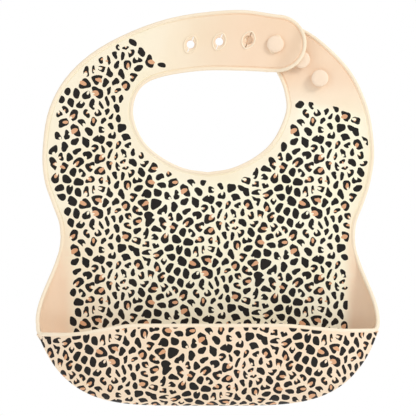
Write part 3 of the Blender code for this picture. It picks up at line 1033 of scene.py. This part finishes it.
def build_upper(shapes, border):
    def tint(points):
        """Share of cream: the print's cream ground inside its border, less towards the left; painted
        light, lighter towards the top; painted shade, darker towards the straps' ends and the pocket.
        """
        inside = in_loop(points, border)
        near = nearest_on(border, points)[1]
        ground = ramp(np.where(inside, near, -near), -TINT_REACH, TINT_REACH)
        ground *= 1 - TINT_LOSS * ramp(points[:, 0], *TINT_LEFT)
        # painted light: lighter towards the top, peach below
        upper = ramp(points[:, 1], *PAINTED_LIGHT_LOW)
        # painted shade: darker towards the straps' ends
        along = ramp(points[:, 0], *STRAP_PAINTED_SHADE) * ramp(points[:, 1], 0, STRAP_PAINTED_SHADE_Z)
        return np.maximum(ground, upper * PAINTED_LIGHT_TOP * (1 - along)).tolist()

    def touching(outline):
        low, high = np.min(outline, axis=0), np.max(outline, axis=0)
        return [
            (kind, loop) for kind, loop in shapes
            if (loop.max(0) > low).all() and (loop.min(0) < high).all()
        ]

    def piece(name, outline, curves, planes, nodes, front=flat_front, holes=(), step=6.0):
        """An outline's part inside the planes; curves(inset) are its free edges."""
        for plane in planes:
            outline = cut(outline, *plane)

        def dent(points):
            away = np.min([nearest_on(c, points, closed=False)[1] for c in curves(0.0)], axis=0)
            share = 1 - ramp(np.abs(away - GROOVE[1]), 0, GROOVE[1] - GROOVE[0])
            return share * GROOVE_DEPTH * ramp(points[:, 1], *GROOVE_FADE)

        def taper(points):
            shift = np.zeros((len(points), 2))
            for eyelet in EYELETS:
                arm = points - eyelet
                away = np.linalg.norm(arm, axis=1)
                rim = np.abs(away - HOLE_R) < ON_RIM
                shift[rim] = -arm[rim] / HOLE_R * HOLE_TAPER
            return shift

        skin = Skin()
        lines = [
            run for inset in GROOVE for curve in curves(inset) for run in stretches(curve, *planes)
        ]
        add_plate(
            skin, split_long(outline, SEAM_STEP), lambda point: sheet_middle(point, front),
            touching(outline), holes, grid_points(outline, step, step / 3), tint,
            lines=lines, dent=dent, back_shift=taper if holes else None,
        )
        for curve in curves(EDGE_R):
            for run in stretches(curve, *planes):
                path = [Vector((p.x, front(p) + SHEET - EDGE_R, p.y)) for p in run]
                add_tube(skin, path, EDGE_R)
        made = skin.build(name, LOOKS)
        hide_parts(*nodes)
        return made

    def outer_edges(inset):
        return [outer_edge(LEFT, inset), outer_edge(RIGHT, inset)]

    def all_edges(inset):
        return [*outer_edges(inset), neck_edge(LEFT, inset)[::-1] + neck_edge(RIGHT, inset)[1:]]

    def strap(side):
        return strap_edge(side, EDGE_R), lambda inset: [strap_edge(side, inset)]

    whole = chest_curve(EDGE_R)
    seam = PEEL_POINT + PEEL_DIRECTION * PEEL_SEAM

    planes = (below(SHOULDER_Z), above(CHEST_LOW))
    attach(piece("bib_chest", whole, all_edges, planes, ["chest_panel"]), "chest")

    planes = (above(PANEL_TOP), below(CHEST_LOW))
    made = piece("bib_waist", whole, outer_edges, planes, [], step=4.0)
    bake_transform(made)

    planes = (above(SHOULDER_Z), (seam, -PEEL_DIRECTION))
    made = piece(
        "bib_left_shoulder", *strap(LEFT), planes, ["hole_strap_root"], hole_strap_front, step=5.0
    )
    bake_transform(made)

    planes = (above(SHOULDER_Z), (seam, PEEL_DIRECTION))
    holes = [[Vector(e) + p for p in eyelet_hole()] for e in EYELETS]
    made = piece(
        "bib_hole_strap", *strap(LEFT), planes, ["hole_strap_tip"], hole_strap_front, holes, 2.6
    )
    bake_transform(made)
    for number, eyelet in enumerate(EYELETS):
        skin = Skin()
        lip = [Vector(eyelet) + p for p in eyelet_lip()]
        path = [Vector((p.x, hole_strap_front(p) - LIP_RISE, p.y)) for p in lip]
        add_tube(skin, path, LIP_R, closed=True)
        made = skin.build(f"bib_lip_{number + 1}", LOOKS)
        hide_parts(f"eyelet_{number + 1}")
        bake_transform(made)

    planes = (above(SHOULDER_Z),)
    made = piece("bib_right_strap", *strap(RIGHT), planes, ["stud_strap"], step=5.0)
    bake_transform(made)
    for number, stud in enumerate(STUDS):
        skin = Skin()
        add_stud(skin, *stud)
        made = skin.build(f"bib_stud_{number + 1}", [STUD_LOOK])
        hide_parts(f"stud_{number + 1}")
        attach(made, "stud_strap")
    return tint


# -------- pocket

STATION = 3.0
FILLET_STEPS = 9
TURN_STEPS = 6
FOLD_STEPS = 10
TOP_MARGIN = 0.1
PANEL_GRID = (6.0, 2.0)
ANGLES = [PRINT_TURN + (RIGHT_ANGLE - PRINT_TURN) * i / FOLD_STEPS for i in range(FOLD_STEPS + 1)]
WALL_SCALE = 38.0  # millimetres up the wall for one radian
WALL_ROWS, WALL_COLUMNS, WALL_SEED_ROWS = 31, 241, 17
LEVEL_ANGLE = math.radians(55)  # the print keeps its width along this line of the wall
PAST_WALL = 30.0  # the print is laid out this far past the wall's edges
SPOT_REACH = 4.0
WALL_ORIGIN = (11.0, 23.0)
WALL_LOW = 0.02  # angle at which the wall's print begins
RIM_MARGIN = 1.1


def stations():
    """Distances along the outline, through both ends of the rim."""
    marks = [TURN_START, RIM_RIGHT_AT, RIM_LEFT_AT, AROUND - TURN_START]
    values = []
    for low, high in zip(marks, marks[1:]):
        count = max(int((high - low) / STATION), 1)
        values += [low + (high - low) * i / count for i in range(count)]
    return values + [marks[-1]]


def carried_on(keys, values):
    """A function that reads a table and carries on one for one past its ends."""
    keys = np.concatenate([[keys[0] - PAST_WALL], keys, [keys[-1] + PAST_WALL]])
    values = np.concatenate([[values[0] - PAST_WALL], values, [values[-1] + PAST_WALL]])
    return lambda key: float(np.interp(key, keys, values))


def filleted(path, corner):
    """A path with one corner rounded."""
    far = [i for i, p in enumerate(path) if (p - path[corner]).length >= CORNER_FILLET]
    low, high = max(i for i in far if i < corner), min(i for i in far if i > corner)
    bend = []
    for t in np.linspace(0, 1, FILLET_STEPS).tolist():
        bend.append(path[low].lerp(path[corner], t).lerp(path[corner].lerp(path[high], t), t))
    return path[:low] + bend + path[high + 1:]


def build_pocket(tile, shapes, tint):
    skin = Skin()
    values = stations()

    # Panel, with the first part of its turn, printed on the front
    outline = [fold_middle(d, PRINT_TURN).xz for d in values]
    outline[0].y = outline[-1].y = PANEL_TOP
    turn = [PRINT_TURN * i / TURN_STEPS for i in range(TURN_STEPS + 1)]
    find_fold = front_map(fold_middle, values, turn)
    flat_loop = [fold_middle(d, 0.0).xz for d in values]
    flat_loop[0].y = flat_loop[-1].y = PANEL_TOP + TOP_MARGIN

    def panel_middle(point):
        if in_loop([point], flat_loop)[0]:
            return sheet_middle(point)
        return fold_point(*find_fold(point.x, point.y))

    seeds = [fold_middle(d, a).xz for d in values[1:-1:2] for a in turn[:-1]]
    seeds += [Vector(p) for p in grid_points(flat_loop, *PANEL_GRID)]
    panel_shapes = [(kind, loop) for kind, loop in shapes if loop.min(0)[1] < PANEL_TOP]
    add_plate(skin, outline, panel_middle, panel_shapes, (), seeds, tint, PANEL_TOP - WELD)

    # Side walls and floor, from the turn to the outline
    add_strip(skin, fold_point, values, ANGLES)

    # Front wall, printed on the outside
    wall_values = [d for d in values if RIM_RIGHT_AT <= d <= RIM_LEFT_AT]
    angles = np.linspace(0, RIGHT_ANGLE, WALL_ROWS).tolist()
    fine = np.linspace(RIM_RIGHT_AT, RIM_LEFT_AT, WALL_COLUMNS).tolist()
    find_wall = front_map(wall_middle, fine, angles)
    # from right to left the distance grows while x falls, so this line runs backwards
    level = [wall_middle(d, LEVEL_ANGLE) for d in fine[::-1]]
    across = lengths_along(level)
    across -= across[len(across) // 2]
    upright = [wall_middle((RIM_RIGHT_AT + RIM_LEFT_AT) / 2, a) for a in angles]
    up = lengths_along(upright)
    wide = carried_on(across, [p.x for p in level])
    high = carried_on(up, [p.z for p in upright])

    def seen(point):
        return Vector((wide(point.x), high(point.y)))

    corners = [
        (across[end] + reach, up[end] + reach) for end, reach in ((0, -SPOT_REACH), (-1, SPOT_REACH))
    ]
    spots = []
    for centre, parts in spread(tile, *corners, WALL_ORIGIN):
        spots.append((seen(centre), [(kind, [seen(p) for p in loop]) for kind, loop in parts]))
    border = [wall_middle(d, WALL_LOW).xz for d in wall_values]
    top_edge = [wall_middle(d, RIGHT_ANGLE).xz for d in wall_values[-2:1:-1]]
    border += [p - Vector((0, RIM_MARGIN)) for p in top_edge]
    wall_shapes = []
    for kind, loop in fitted(spots, border, False):
        own = [find_wall(x, z) for x, z in loop]
        wall_shapes.append((kind, np.array([(p.x, p.y * WALL_SCALE) for p in own])))
    top = RIGHT_ANGLE * WALL_SCALE
    outline = [Vector((d, 0)) for d in wall_values]
    outline += [Vector((d, top)) for d in reversed(wall_values)]
    rows = np.linspace(0, top, WALL_SEED_ROWS)[1:-1]
    seeds = [Vector((d, v)) for d in wall_values[1:-1:2] for v in rows]

    def wall(point):
        distance = min(max(point.x, RIM_RIGHT_AT), RIM_LEFT_AT)
        at, normal = wall_point(distance, min(max(point.y / WALL_SCALE, 0), RIGHT_ANGLE))
        return at, -normal

    # the front wall's share of cream is fixed and low: painted shade on the pocket
    wall_skin = Skin()
    add_plate(
        wall_skin, outline, wall, wall_shapes, (), seeds,
        lambda points: [POCKET_PAINTED_LIGHT] * len(points), open_below=WELD,
    )
    wall_skin.faces = [face[::-1] for face in wall_skin.faces]
    skin.add(wall_skin.points, wall_skin.faces, wall_skin.looks, wall_skin.tints)

    made = skin.build("bib_pocket", LOOKS)
    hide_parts("lower_panel", "left_gusset", "right_gusset", "pocket_floor", "pocket_front")
    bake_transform(made)

    # One bead down a side wall, along the rim and up the other side wall
    def free_edge(distance):
        rise, _ = turn_share(distance)
        at = fold_middle(distance, RIGHT_ANGLE)
        return at + Vector((0, -(EDGE_R - HALF) * (1 - rise), 0))

    path = [free_edge(d) for d in values if d < RIM_RIGHT_AT]
    rim = [rim_middle(d) for d in wall_values]
    first, second = len(path), len(path) + len(rim) - 1
    path += rim + [free_edge(d) for d in values if d > RIM_LEFT_AT]
    path = filleted(filleted(path, second), first)
    skin = Skin()
    add_tube(skin, path, (EDGE_R + RIM_R) / 2)
    made = skin.build("bib_pocket_edge", LOOKS)
    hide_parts("pocket_rim")
    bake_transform(made)


def build_bib():
    tile = spot_tile()
    border = print_border()
    low, high = np.min(border, axis=0), np.max(border, axis=0)
    shapes = fitted(spread(tile, low, high, (0.0, 0.0)), border, True)
    tint = build_upper(shapes, border)
    build_pocket(tile, shapes, tint)


# -------- studio


LIT_POINT = Vector((0, 0, -0.06))
LIGHTS = [
    ("key", (1.2, -0.9, 0.9), 0.5, 12),
    ("fill", (-1.2, -0.9, 0.0), 1.0, 3),
    ("back", (0.5, 1.5, 0.6), 1.2, 8),
]
GLOW = 0.67
FLOOR_R, FLOOR_Z, FLOOR_SIDES = 1.5, -0.3, 96
FLOOR_LOOK = {
    "Base Color": (0.92, 0.92, 0.92, 1), "Roughness": 0.8,
    "Emission Color": (1, 1, 1, 1), "Emission Strength": 0.12,
}
CAMERA_PLACE = (0.0002, -3.08, -0.0598)
LENS = 400


def area_light(name, place, size, power):
    light = bpy.data.lights.new(name, "AREA")
    light.shape, light.size, light.energy = "DISK", size, power
    turn = (LIT_POINT - Vector(place)).to_track_quat("-Z", "Y").to_euler()
    added(name, light, place, turn).visible_camera = False


def build_studio():
    scene = bpy.context.scene
    scene.view_settings.view_transform = "Standard"
    scene.world = world = bpy.data.worlds.new("studio")
    world.use_nodes = True
    nodes, links = world.node_tree.nodes, world.node_tree.links
    glow, seen = nodes["Background"], nodes.new("ShaderNodeBackground")
    for node, strength in ((glow, GLOW), (seen, 1)):
        node.inputs["Color"].default_value = (1, 1, 1, 1)
        node.inputs["Strength"].default_value = strength
    path, both = nodes.new("ShaderNodeLightPath"), nodes.new("ShaderNodeMixShader")
    links.new(path.outputs["Is Camera Ray"], both.inputs["Fac"])
    links.new(glow.outputs["Background"], both.inputs[1])
    links.new(seen.outputs["Background"], both.inputs[2])
    links.new(both.outputs["Shader"], nodes["World Output"].inputs["Surface"])
    for light in LIGHTS:
        area_light(*light)

    floor = bpy.data.meshes.new("floor")
    ring = [(FLOOR_R * cos(a), FLOOR_R * sin(a), FLOOR_Z) for a in turns(FLOOR_SIDES)]
    floor.from_pydata(ring, [], [tuple(range(FLOOR_SIDES))])
    look = bpy.data.materials.new("floor")
    look.use_nodes = True
    surface = look.node_tree.nodes["Principled BSDF"].inputs
    for socket, value in FLOOR_LOOK.items():
        surface[socket].default_value = value
    floor.materials.append(look)
    added("floor", floor)

    camera = bpy.data.cameras.new("camera")
    camera.lens = LENS
    camera.sensor_width = 36
    scene.camera = added("camera", camera, CAMERA_PLACE, (RIGHT_ANGLE, 0, 0))


build_bib()
build_studio()
